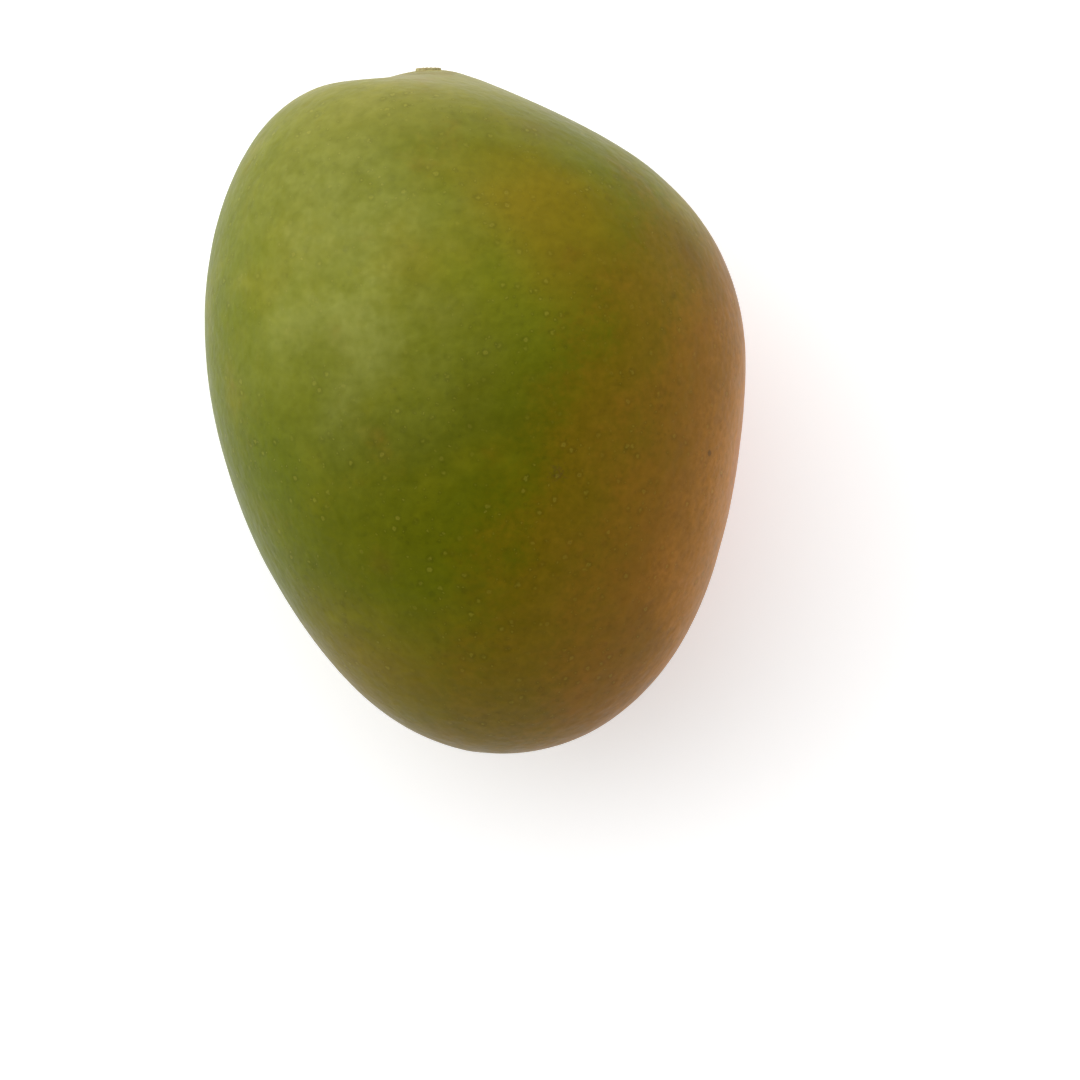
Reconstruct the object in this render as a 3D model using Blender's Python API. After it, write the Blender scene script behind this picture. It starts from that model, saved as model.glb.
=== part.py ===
"""A whole mango lying on its cheek, with the cut stub of its stalk standing in the stem end.

Metres, +Z up. The stem end points along +Y and the full back of the fruit along +X. The fruit rests on a
small flat spot under its weight. The origin is under the middle of the whole, on the surface it rests on.
"""

import math

import bmesh
import bpy
import numpy as np
from mathutils import Matrix, Vector

# The fruit seen square on to its cheek: degrees from the stem round by the back, and metres from its middle
OUTLINE = (
    (0, 0.0619),
    (12, 0.0584),
    (26, 0.0551),
    (42, 0.0540),
    (60, 0.0532),
    (80, 0.0510),
    (100, 0.0487),
    (120, 0.0499),
    (140, 0.0548),
    (160, 0.0610),
    (180, 0.0636),
    (200, 0.0599),
    (220, 0.0527),
    (240, 0.0480),
    (270, 0.0470),
    (295, 0.0516),
    (315, 0.0583),
    (330, 0.0636),
    (343, 0.0646),
    (352, 0.0622),
)

# Thickness through the cheeks as a share of the width, at the stem, in the middle and at the tip
STEM_SHARE = 0.92
MIDDLE_SHARE = 0.88
TIP_SHARE = 0.84
# How much of that share moves from the stem half of the cheeks to the tip half
SHARE_TOWARDS_TIP = 0.06
# How far the cheeks' shoulders stand up towards the stem end, above the line from belly to back
SHOULDER_LIFT = 0.0025

# Gentle swells of the cheeks: waves from stem to tip, waves round, start in radians, and height as a share
# of the cheek's rise
SWELLS = (
    (2.0, 1, 0.4, 0.006),
    (3.5, 2, 1.9, 0.005),
    (5.0, 3, 4.0, 0.003),
)

# The fruit lies with its stem end a little raised, because its weight is nearer the stem than its tip
REST_PITCH = math.radians(3.0)
REST_SPOT_DEPTH = 0.0008
CUT_TOLERANCE = 1e-7

# Faces round the fruit and from stem to tip, and how far the rounds are drawn together at the stem
FACES_ROUND = 64
FACES_ALONG = 44
STEM_GATHER = 0.45

# The raised collar of the stem end: where it is highest, how wide and how high
COLLAR_RADIUS = 0.0042
COLLAR_WIDTH = 0.0020
COLLAR_HEIGHT = 0.0006

# The stub of the stalk, which leans towards the back, and the clearance round it in its socket
STUB_LEAN = math.radians(7.0)
STUB_FOOT_RADIUS = 0.0024
STUB_TOP_RADIUS = 0.0022
STUB_DEPTH = 0.0030
STUB_STANDS_OUT = 0.0012
STUB_RIM_BEVEL = 0.0003
STUB_RIM_FACES = 2
STUB_SIDES = 32
STUB_SHARP_ANGLE = math.radians(50)
SOCKET_CLEARANCE = 0.0003
SOCKET_SIDES = 32

SKIN_COLOUR = (0.184, 0.195, 0.014, 1.0)
SKIN_ROUGHNESS = 0.42
STUB_COLOUR = (0.290, 0.215, 0.120, 1.0)
STUB_ROUGHNESS = 0.85

FULL_CIRCLE = 360.0


def curve_bends(angles, radii):
    """The second derivative at each point of the smooth closed curve through these radii."""
    count = len(angles)
    steps = np.diff(np.append(angles, angles[0] + FULL_CIRCLE))
    slopes = np.diff(np.append(radii, radii[0])) / steps
    table = np.zeros((count, count))
    for i in range(count):
        table[i, i - 1] = steps[i - 1]
        table[i, i] = 2 * (steps[i - 1] + steps[i])
        table[i, (i + 1) % count] = steps[i]
    return np.linalg.solve(table, 6 * (slopes - np.roll(slopes, 1)))


OUTLINE_ANGLES = np.array([angle for angle, radius in OUTLINE], float)
OUTLINE_RADII = np.array([radius for angle, radius in OUTLINE])
OUTLINE_BENDS = curve_bends(OUTLINE_ANGLES, OUTLINE_RADII)


def outline_radius(degrees):
    """Distance from the middle to the outline, this many degrees from the stem round by the back."""
    degrees = degrees % FULL_CIRCLE
    here = int(np.searchsorted(OUTLINE_ANGLES, degrees, side="right")) - 1
    after = (here + 1) % len(OUTLINE_ANGLES)
    step = (OUTLINE_ANGLES[after] - OUTLINE_ANGLES[here]) % FULL_CIRCLE
    far = (degrees - OUTLINE_ANGLES[here]) / step
    near = 1 - far
    straight = near * OUTLINE_RADII[here] + far * OUTLINE_RADII[after]
    bend = (near**3 - near) * OUTLINE_BENDS[here] + (far**3 - far) * OUTLINE_BENDS[after]
    return straight + bend * step**2 / 6


def outline_point(angle):
    """The outline's point at this angle from the stem in radians, which is negative on the belly side."""
    radius = outline_radius(math.degrees(angle))
    return Vector((radius * math.sin(angle), radius * math.cos(angle), 0.0))


def thickness_share(along):
    """Thickness as a share of the width, at this angle from the stem in radians."""
    end = STEM_SHARE if along < math.pi / 2 else TIP_SHARE
    share = MIDDLE_SHARE + (end - MIDDLE_SHARE) * math.cos(along) ** 2
    return share - SHARE_TOWARDS_TIP * math.cos(along) * math.sin(along) ** 2


def shoulder_lift(along, around):
    """How far the skin here stands up towards the stem end."""
    if along > math.pi / 2:
        return 0.0
    return SHOULDER_LIFT * (math.sin(around) * math.sin(2 * along)) ** 2


def swell(along, around):
    """Height of the gentle swells here, as a share of the cheek's rise."""
    waves = (height * math.sin(n * along + m * around + start) for n, m, start, height in SWELLS)
    return sum(waves) * math.sin(along) ** 2


def collar_height(distance):
    """Height of the collar at this distance from the stalk."""
    return COLLAR_HEIGHT * math.exp(-(((distance - COLLAR_RADIUS) / COLLAR_WIDTH) ** 2))


def skin_point(along, around):
    """A point of the skin: along is the angle from the stem, around is 0 at the back and rises over the top."""
    back = outline_point(along)
    belly = outline_point(-along)
    middle = (back + belly) / 2
    half_width = (back - belly) / 2
    rise = half_width.length * thickness_share(along) * (1 + swell(along, around))
    point = middle + half_width * math.cos(around) + Vector((0, 0, rise * math.sin(around)))
    point.y += shoulder_lift(along, around)
    if along < math.pi / 2:
        point += stalk_direction() * collar_height(half_width.length)
    return point


def stalk_direction():
    """The way the stalk points, before the fruit is laid at rest."""
    return Vector((math.sin(STUB_LEAN), math.cos(STUB_LEAN), 0.0))


def stalk_frame():
    """Places a shape made along +Z on the stem end, along the stalk."""
    turn = stalk_direction().to_track_quat("Z", "Y").to_matrix().to_4x4()
    return Matrix.Translation(outline_point(0.0)) @ turn


def laid_at_rest():
    """Turns the fruit from its upright outline to the way it lies."""
    return Matrix.Rotation(REST_PITCH, 4, "X")


def make_material(name, colour, roughness):
    """A plain material of this colour and roughness."""
    material = bpy.data.materials.new(name)
    material.use_nodes = True
    shader = material.node_tree.nodes["Principled BSDF"]
    shader.inputs["Base Color"].default_value = colour
    shader.inputs["Roughness"].default_value = roughness
    shader.inputs["Metallic"].default_value = 0.0
    material.diffuse_color = colour
    return material


def make_object(name, shape, collection, material=None):
    """An object of this bmesh, which is freed, in the collection."""
    mesh = bpy.data.meshes.new(name)
    shape.to_mesh(mesh)
    shape.free()
    made = bpy.data.objects.new(name, mesh)
    collection.objects.link(made)
    if material:
        mesh.materials.append(material)
    return made


def cut_rest_spot(shape):
    """Cuts the flat spot that the fruit rests on, and closes it with one face."""
    lowest = min(vertex.co.z for vertex in shape.verts)
    cut = bmesh.ops.bisect_plane(
        shape,
        geom=shape.verts[:] + shape.edges[:] + shape.faces[:],
        dist=CUT_TOLERANCE,
        plane_co=(0, 0, lowest + REST_SPOT_DEPTH),
        plane_no=(0, 0, -1),
        clear_outer=True,
    )
    rim = [part for part in cut["geom_cut"] if isinstance(part, bmesh.types.BMEdge)]
    bmesh.ops.contextual_create(shape, geom=rim)


def make_fruit(collection):
    """The fruit's skin and flesh: one closed body, without the stub's socket."""
    shape = bmesh.new()
    bmesh.ops.create_uvsphere(shape, u_segments=FACES_ROUND, v_segments=FACES_ALONG, radius=1.0)
    for vertex in shape.verts:
        along = math.acos(max(-1.0, min(1.0, vertex.co.z)))
        along -= STEM_GATHER * math.sin(along)
        around = math.atan2(-vertex.co.y, vertex.co.x)
        vertex.co = laid_at_rest() @ skin_point(along, around)
    cut_rest_spot(shape)
    bmesh.ops.recalc_face_normals(shape, faces=shape.faces)
    skin = make_material("skin", SKIN_COLOUR, SKIN_ROUGHNESS)
    fruit = make_object("fruit", shape, collection, skin)
    fruit.data.shade_smooth()
    return fruit


def make_stub(collection):
    """The woody stub: a short tapered peg with its top rim rounded."""
    length = STUB_DEPTH + STUB_STANDS_OUT
    shape = bmesh.new()
    bmesh.ops.create_cone(
        shape,
        cap_ends=True,
        segments=STUB_SIDES,
        radius1=STUB_FOOT_RADIUS,
        radius2=STUB_TOP_RADIUS,
        depth=length,
        matrix=Matrix.Translation((0, 0, length / 2 - STUB_DEPTH)),
    )
    top_rim = [edge for edge in shape.edges if all(vertex.co.z > 0 for vertex in edge.verts)]
    bmesh.ops.bevel(
        shape, geom=top_rim, offset=STUB_RIM_BEVEL, segments=STUB_RIM_FACES, profile=0.5, affect="EDGES"
    )
    shape.transform(laid_at_rest() @ stalk_frame())
    wood = make_material("stem_wood", STUB_COLOUR, STUB_ROUGHNESS)
    stub = make_object("stem_stub", shape, collection, wood)
    stub.data.shade_smooth()
    stub.data.set_sharp_from_angle(angle=STUB_SHARP_ANGLE)
    return stub


def make_socket_cutter(collection):
    """The plain round hole that the stub stands in, as a cutter that runs out past the skin."""
    deep = STUB_DEPTH + SOCKET_CLEARANCE
    out = STUB_STANDS_OUT + COLLAR_HEIGHT + SOCKET_CLEARANCE
    shape = bmesh.new()
    bmesh.ops.create_cone(
        shape,
        cap_ends=True,
        segments=SOCKET_SIDES,
        radius1=STUB_FOOT_RADIUS + SOCKET_CLEARANCE,
        radius2=STUB_FOOT_RADIUS + SOCKET_CLEARANCE,
        depth=deep + out,
        matrix=Matrix.Translation((0, 0, (out - deep) / 2)),
    )
    shape.transform(laid_at_rest() @ stalk_frame())
    cutter = make_object("socket_cutter", shape, collection)
    cutter.hide_render = True
    cutter.display_type = "WIRE"
    return cutter


def cut_socket(fruit, cutter):
    """Cuts the stub's socket into the stem end."""
    cut = fruit.modifiers.new("stem_socket", "BOOLEAN")
    cut.operation = "DIFFERENCE"
    cut.solver = "EXACT"
    cut.object = cutter


def stand_on_origin(parts, cutters):
    """Moves everything so that the origin is under the middle of the parts, on the surface they rest on."""
    points = [vertex.co for part in parts for vertex in part.data.vertices]
    low = Vector(min(point[axis] for point in points) for axis in range(3))
    high = Vector(max(point[axis] for point in points) for axis in range(3))
    move = Matrix.Translation((-(low.x + high.x) / 2, -(low.y + high.y) / 2, -low.z))
    for moved in parts + cutters:
        moved.data.transform(move)


def make_collection(name):
    """A collection in the scene."""
    collection = bpy.data.collections.new(name)
    bpy.context.scene.collection.children.link(collection)
    return collection


def main():
    """Builds the mango."""
    for old in list(bpy.data.objects):
        bpy.data.objects.remove(old)
    parts = make_collection("mango")
    cutters = make_collection("mango_cutters")
    fruit = make_fruit(parts)
    stub = make_stub(parts)
    cutter = make_socket_cutter(cutters)
    stand_on_origin([fruit, stub], [cutter])
    cut_socket(fruit, cutter)


main()
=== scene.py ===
"""The looks of a whole mango: a green fruit with a red-brown back, lying on its cheek, and its cut stalk.

Metres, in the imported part's frame: +Z up, +Y to the stem end, +X to the full back of the fruit.
"""

import logging
import math
import random
from dataclasses import dataclass, field
from enum import Enum
from typing import ClassVar

import bpy
import numpy as np
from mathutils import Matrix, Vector, noise


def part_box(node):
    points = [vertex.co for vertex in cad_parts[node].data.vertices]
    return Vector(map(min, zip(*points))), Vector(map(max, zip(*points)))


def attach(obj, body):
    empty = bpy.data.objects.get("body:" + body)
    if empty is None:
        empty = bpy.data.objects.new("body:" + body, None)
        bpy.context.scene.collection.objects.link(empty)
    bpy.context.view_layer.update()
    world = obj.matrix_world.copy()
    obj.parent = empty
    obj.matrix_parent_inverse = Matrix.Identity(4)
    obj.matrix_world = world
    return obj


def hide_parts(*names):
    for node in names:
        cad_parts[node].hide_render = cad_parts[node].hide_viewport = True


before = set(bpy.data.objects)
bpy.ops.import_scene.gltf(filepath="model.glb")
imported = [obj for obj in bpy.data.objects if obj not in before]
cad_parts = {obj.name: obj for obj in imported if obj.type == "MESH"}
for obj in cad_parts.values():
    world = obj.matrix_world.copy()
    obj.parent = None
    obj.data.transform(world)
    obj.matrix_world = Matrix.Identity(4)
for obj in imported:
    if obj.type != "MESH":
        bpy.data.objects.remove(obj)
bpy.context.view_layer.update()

LOG = logging.getLogger("mango")
BODY = "root"
FULL_CIRCLE_DEG = 360.0

# How a screen's levels stand for light: in proportion up to the knee, and by a power above it
FULL_LEVEL = 255.0
SCREEN_KNEE = 0.04045
SCREEN_SLOPE = 12.92
SCREEN_OFFSET = 0.055
SCREEN_POWER = 2.4

Colour = tuple[float, float, float]
Socket = bpy.types.NodeSocket


class Mask(Enum):
    """The names of the values that the fruit's mesh carries at each vertex, for its finish to read."""

    ALONG = "stem_to_tip"
    BELLY = "belly"
    TAN = "tan"
    BLUSH = "blush"
    FIRE = "blush_middle"
    BLOOM_AND_SHEEN = "bloom"
    STAIN = "sap_stain"
    CORK = "cork"
    CRACK = "cork_crack"
    SMUDGE = "smudge"


class StubPart(Enum):
    """The names of the values that the stub's mesh carries at each vertex, for its finish to read."""

    CUT_FACE = "cut_face"
    FROM_AXIS = "from_axis"


class Sum(Enum):
    """The sums that a shader node does, with Blender's names for them."""

    LESS = "SUBTRACT"
    TIMES = "MULTIPLY"
    TIMES_PLUS = "MULTIPLY_ADD"
    LARGER = "MAXIMUM"
    POWER = "POWER"


class Blend(Enum):
    """The ways that one colour goes over another, with Blender's names for them."""

    COVER = "MIX"
    DARKEN = "MULTIPLY"
    LIGHTEN = "SCREEN"


@dataclass(frozen=True)
class Cloud:
    """Cloudy noise: its blotches' size in metres, how many finer layers it has, and how strong they are."""

    size: float
    detail: float
    roughness: float = 0.5


@dataclass(frozen=True)
class Fade:
    """A smooth change from start to end, while a value goes from low to high."""

    low: float
    high: float
    start: float = 0.0
    end: float = 1.0


def smooth_step(low: float, high: float, value: np.ndarray) -> np.ndarray:
    """A smooth rise from 0 at low to 1 at high.

    Args:
        low: Where the rise starts.
        high: Where it ends, which may be less than low.
        value: The values to look up.

    Returns:
        An array of shares from 0 to 1.
    """
    share = np.clip((value - low) / (high - low), 0.0, 1.0)
    return share * share * (3.0 - 2.0 * share)


def bell(distance: np.ndarray, width: float) -> np.ndarray:
    """A round hump: 1 in the middle, and near 0 past two widths."""
    return np.exp(-((distance / width) ** 2))


def linear(red: int, green: int, blue: int) -> Colour:
    """A screen colour as the light that a shader takes.

    Args:
        red: The red level, from 0 to 255.
        green: The green level.
        blue: The blue level.

    Returns:
        The three channels of light, from 0 to 1.
    """

    def light(level: int) -> float:
        """The light of one channel.

        Args:
            level: The channel's level.

        Returns:
            The light, from 0 to 1.
        """
        share = level / FULL_LEVEL
        if share <= SCREEN_KNEE:
            return share / SCREEN_SLOPE
        return ((share + SCREEN_OFFSET) / (1.0 + SCREEN_OFFSET)) ** SCREEN_POWER

    return light(red), light(green), light(blue)


class Bench:
    """A tree of shader nodes, with short ways to add and join them."""

    MIX_SHARE = 0
    MIX_BELOW = 6
    MIX_ABOVE = 7
    MIX_RESULT = 2

    def __init__(self, tree: bpy.types.NodeTree) -> None:
        """Works on this tree."""
        self.nodes = tree.nodes
        self.links = tree.links

    def add(self, kind: str) -> bpy.types.Node:
        """A new node of this kind."""
        return self.nodes.new(kind)

    def _feed(self, socket: Socket, value: "Socket | float | Colour") -> None:
        """Joins a socket to another, or sets its value.

        Args:
            socket: The socket that is fed.
            value: The other socket, or the number or colour to set.
        """
        if isinstance(value, bpy.types.NodeSocket):
            self.links.new(value, socket)
        elif isinstance(value, tuple) and len(socket.default_value) == 4:
            socket.default_value = (*value, 1.0)
        else:
            socket.default_value = value

    def attribute(self, mask: Enum) -> Socket:
        """The value that the mesh carries under a name.

        Args:
            mask: The name, as a member of its Enum.

        Returns:
            The value's socket.
        """
        node = self.add("ShaderNodeAttribute")
        node.attribute_name = mask.value
        return node.outputs["Fac"]

    def math(self, kind: Sum, *values: "Socket | float") -> Socket:
        """One sum.

        Args:
            kind: Which sum it is.
            values: What it works on.

        Returns:
            The result's socket.
        """
        node = self.add("ShaderNodeMath")
        node.operation = kind.value
        for socket, value in zip(node.inputs, values):
            self._feed(socket, value)
        return node.outputs[0]

    def span(self, value: Socket, fade: Fade) -> Socket:
        """Maps a value by a fade.

        Args:
            value: The value's socket.
            fade: How the result changes with it.

        Returns:
            The result's socket.
        """
        node = self.add("ShaderNodeMapRange")
        node.interpolation_type = "SMOOTHSTEP"
        for socket, number in zip(node.inputs[1:5], (fade.low, fade.high, fade.start, fade.end)):
            socket.default_value = number
        self._feed(node.inputs[0], value)
        return node.outputs[0]

    def mix(
        self,
        share: "Socket | float",
        below: "Socket | Colour",
        above: "Socket | Colour",
        blend: Blend = Blend.COVER,
    ) -> Socket:
        """One colour over another.

        Args:
            share: How much of the upper colour shows.
            below: The lower colour.
            above: The upper colour.
            blend: The way they mix.

        Returns:
            The mixed colour's socket.
        """
        node = self.add("ShaderNodeMix")
        node.data_type = "RGBA"
        node.blend_type = blend.value
        self._feed(node.inputs[self.MIX_SHARE], share)
        self._feed(node.inputs[self.MIX_BELOW], below)
        self._feed(node.inputs[self.MIX_ABOVE], above)
        return node.outputs[self.MIX_RESULT]

    def ramp(self, value: Socket, stops: tuple[tuple[float, Colour], ...]) -> Socket:
        """Colours along a value.

        Args:
            value: The value's socket.
            stops: Each stop's place from 0 to 1, and its colour.

        Returns:
            The colour's socket.
        """
        node = self.add("ShaderNodeValToRGB")
        stripe = node.color_ramp.elements
        while len(stripe) < len(stops):
            stripe.new(1.0)
        for element, (at, colour) in zip(stripe, stops):
            element.position = at
            element.color = (*colour, 1.0)
        self.links.new(value, node.inputs[0])
        return node.outputs[0]

    def bump(self, height: Socket, depth: float) -> Socket:
        """Relief from a height.

        Args:
            height: The height's socket.
            depth: What a height of 1 stands for, in metres.

        Returns:
            The relief's socket.
        """
        node = self.add("ShaderNodeBump")
        node.inputs["Distance"].default_value = depth
        self.links.new(height, node.inputs["Height"])
        return node.outputs[0]


class SkinBench(Bench):
    """A material's nodes, from its shader outwards."""

    def __init__(self, name: str) -> None:
        """Starts a material that has only its shader and output.

        Args:
            name: The material's name.
        """
        self.material = bpy.data.materials.new(name)
        self.material.use_nodes = True
        super().__init__(self.material.node_tree)
        self.shader = self.nodes["Principled BSDF"]
        self.place = self.add("ShaderNodeTexCoord").outputs["Object"]

    def noise(self, cloud: Cloud) -> Socket:
        """Cloudy noise through the object.

        Args:
            cloud: What it is like.

        Returns:
            The noise's value, about 0.5 in the middle.
        """
        node = self.add("ShaderNodeTexNoise")
        node.inputs["Scale"].default_value = 1.0 / cloud.size
        node.inputs["Detail"].default_value = cloud.detail
        node.inputs["Roughness"].default_value = cloud.roughness
        self.links.new(self.place, node.inputs["Vector"])
        return node.outputs["Fac"]

    def shaken(self, size: float, reach: float) -> Socket:
        """The object's own place, shaken so that what is read there isn't too regular.

        Args:
            size: How far apart places are that are shaken differently.
            reach: How far they are moved, at most.

        Returns:
            The shaken place.
        """
        waves = self.add("ShaderNodeTexNoise")
        waves.inputs["Scale"].default_value = 1.0 / size
        waves.inputs["Detail"].default_value = 0.0
        self.links.new(self.place, waves.inputs["Vector"])
        moved = self.add("ShaderNodeVectorMath")
        moved.operation = "MULTIPLY_ADD"
        moved.inputs[1].default_value = (reach, reach, reach)
        self.links.new(waves.outputs["Color"], moved.inputs[0])
        self.links.new(self.place, moved.inputs[2])
        return moved.outputs[0]

    def from_points(self, spacing: float, place: "Socket | None" = None) -> Socket:
        """How far it is to the nearest of the points that are scattered through the object.

        Args:
            spacing: How far apart the points are, in metres.
            place: Where it is read, if not at the object's own place.

        Returns:
            The distance, as a share of the spacing.
        """
        node = self.add("ShaderNodeTexVoronoi")
        node.inputs["Scale"].default_value = 1.0 / spacing
        self.links.new(place or self.place, node.inputs["Vector"])
        return node.outputs["Distance"]

    def dress(self, colour: Socket, roughness: Socket, relief: Socket) -> bpy.types.Material:
        """Joins the finished colour, roughness and relief to the shader.

        Args:
            colour: The base colour.
            roughness: The roughness.
            relief: The relief.

        Returns:
            The material.
        """
        self.links.new(colour, self.shader.inputs["Base Color"])
        self.links.new(roughness, self.shader.inputs["Roughness"])
        self.links.new(relief, self.shader.inputs["Normal"])
        return self.material


@dataclass(frozen=True)
class Outline:
    """The fruit seen square on to its cheek: a smooth closed curve round its middle.

    points holds degrees from the stem round by the back, and metres from the middle.
    """

    points: tuple[tuple[float, float], ...] = (
        (0, 0.0619),
        (12, 0.0584),
        (26, 0.0551),
        (42, 0.0540),
        (60, 0.0532),
        (80, 0.0510),
        (100, 0.0487),
        (120, 0.0499),
        (140, 0.0548),
        (160, 0.0610),
        (180, 0.0636),
        (200, 0.0599),
        (220, 0.0527),
        (240, 0.0480),
        (270, 0.0470),
        (295, 0.0516),
        (315, 0.0583),
        (330, 0.0636),
        (343, 0.0646),
        (352, 0.0622),
    )

    def _bends(self, angles: np.ndarray, radii: np.ndarray) -> np.ndarray:
        """How the smooth closed curve bends at its points.

        Args:
            angles: The points' degrees from the stem.
            radii: Their distances from the middle.

        Returns:
            The second derivative at each point.
        """
        count = len(angles)
        steps = np.diff(np.append(angles, angles[0] + FULL_CIRCLE_DEG))
        slopes = np.diff(np.append(radii, radii[0])) / steps
        table = np.zeros((count, count))
        for i in range(count):
            table[i, i - 1] = steps[i - 1]
            table[i, i] = 2 * (steps[i - 1] + steps[i])
            table[i, (i + 1) % count] = steps[i]
        return np.linalg.solve(table, 6 * (slopes - np.roll(slopes, 1)))

    def radius(self, angle: np.ndarray) -> np.ndarray:
        """Distance from the middle to the outline.

        Args:
            angle: Radians from the stem round by the back.

        Returns:
            Metres, in an array of the same shape.
        """
        angles = np.array([at for at, _ in self.points], float)
        radii = np.array([distance for _, distance in self.points])
        bends = self._bends(angles, radii)
        degrees = np.degrees(angle) % FULL_CIRCLE_DEG
        here = np.searchsorted(angles, degrees, side="right") - 1
        after = (here + 1) % len(angles)
        step = (angles[after] - angles[here]) % FULL_CIRCLE_DEG
        far = (degrees - angles[here]) / step
        near = 1 - far
        bend = (near**3 - near) * bends[here] + (far**3 - far) * bends[after]
        return near * radii[here] + far * radii[after] + bend * step**2 / 6


@dataclass(frozen=True)
class FruitForm:
    """The fruit's form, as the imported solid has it, before it is laid down. Its stem end is along +Y."""

    outline: Outline = Outline()
    stem_share: float = 0.92
    middle_share: float = 0.88
    tip_share: float = 0.84
    share_towards_tip: float = 0.06
    shoulder_lift: float = 0.0025
    swells: tuple[tuple[float, int, float, float], ...] = (
        (2.0, 1, 0.4, 0.006),
        (3.5, 2, 1.9, 0.005),
        (5.0, 3, 4.0, 0.003),
    )
    collar_radius: float = 0.0042
    collar_width: float = 0.0020
    collar_height: float = 0.0006
    stub_lean: float = math.radians(7.0)
    rest_pitch: float = math.radians(3.0)

    def outline_point(self, angle: np.ndarray) -> np.ndarray:
        """The outline's points at these angles from the stem, which are negative on the belly side."""
        radius = self.outline.radius(angle)
        return np.stack([radius * np.sin(angle), radius * np.cos(angle), np.zeros_like(radius)], axis=-1)

    def half_width(self, along: np.ndarray) -> np.ndarray:
        """Half the width of the fruit's round at these angles from the stem."""
        return np.linalg.norm(self.outline_point(along) - self.outline_point(-along), axis=-1) / 2

    def stalk_direction(self) -> np.ndarray:
        """The way the stalk points, before the fruit is laid at rest."""
        return np.array([math.sin(self.stub_lean), math.cos(self.stub_lean), 0.0])

    def _share(self, along: np.ndarray) -> np.ndarray:
        """Thickness as a share of the width.

        Args:
            along: Angle from the stem, from 0 to pi.

        Returns:
            The share at each angle.
        """
        end = np.where(along < math.pi / 2, self.stem_share, self.tip_share)
        share = self.middle_share + (end - self.middle_share) * np.cos(along) ** 2
        return share - self.share_towards_tip * np.cos(along) * np.sin(along) ** 2

    def _swell(self, along: np.ndarray, around: np.ndarray) -> np.ndarray:
        """Height of the gentle swells, as a share of the cheek's rise."""
        waves = (height * np.sin(n * along + m * around + start) for n, m, start, height in self.swells)
        return sum(waves) * np.sin(along) ** 2

    def skin(self, along: np.ndarray, around: np.ndarray) -> np.ndarray:
        """Points of the skin.

        Args:
            along: Angle from the stem, from 0 to pi.
            around: Angle round the fruit, 0 at the back and a right angle on top.

        Returns:
            An array with one more axis, of x, y and z.
        """
        back = self.outline_point(along)
        belly = self.outline_point(-along)
        middle = (back + belly) / 2
        half = (back - belly) / 2
        width = np.linalg.norm(half, axis=-1)
        stem_half = along < math.pi / 2
        rise = width * self._share(along) * (1 + self._swell(along, around))
        points = middle + half * np.cos(around)[..., None]
        points[..., 2] += rise * np.sin(around)
        lift = self.shoulder_lift * (np.sin(around) * np.sin(2 * along)) ** 2
        points[..., 1] += np.where(stem_half, lift, 0.0)
        collar = self.collar_height * bell(width - self.collar_radius, self.collar_width)
        collar = np.where(stem_half, collar, 0.0)
        return points + collar[..., None] * self.stalk_direction()

    def laid(self, points: np.ndarray) -> np.ndarray:
        """Turns points from the upright outline to the way the fruit lies, about its middle.

        Args:
            points: The points to turn.

        Returns:
            The turned points.
        """
        cosine, sine = math.cos(self.rest_pitch), math.sin(self.rest_pitch)
        x, y, z = points[..., 0], points[..., 1], points[..., 2]
        return np.stack([x, cosine * y - sine * z, sine * y + cosine * z], axis=-1)


@dataclass(frozen=True)
class Lie:
    """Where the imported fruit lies: its form, and the place of the outline's middle in the part's frame."""

    SEARCH_STEPS: ClassVar[int] = 361

    form: FruitForm
    middle: np.ndarray

    @classmethod
    def of_packed(cls, form: FruitForm) -> "Lie":
        """Finds the lie: from above, the form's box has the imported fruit's middle, and their tops are level.

        Args:
            form: The fruit's form.

        Returns:
            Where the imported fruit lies.
        """
        down = np.linspace(0.0, math.pi, cls.SEARCH_STEPS)
        turns = np.linspace(0.0, 2 * math.pi, cls.SEARCH_STEPS)
        along, around = np.meshgrid(down, turns, indexing="ij")
        points = form.laid(form.skin(along, around)).reshape(-1, 3)
        low, high = points.min(axis=0), points.max(axis=0)
        packed_low, packed_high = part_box("fruit")
        middle = (np.array(packed_low) + np.array(packed_high) - low - high) / 2
        middle[2] = packed_high.z - high[2]
        return cls(form, middle)

    def place(self, points: np.ndarray) -> np.ndarray:
        """Points of the upright outline's frame, as they lie in the part's frame."""
        return self.form.laid(points) + self.middle


@dataclass(frozen=True)
class Dent:
    """A shallow dent in the skin: where it is, and its size in metres."""

    along: float
    around: float
    radius: float
    depth: float


@dataclass(frozen=True)
class Cracks:
    """One set of the collar's radial cracks: how many, and their wander, width and depth as shares."""

    count: int
    wander: float
    width: float
    depth: float


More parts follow.
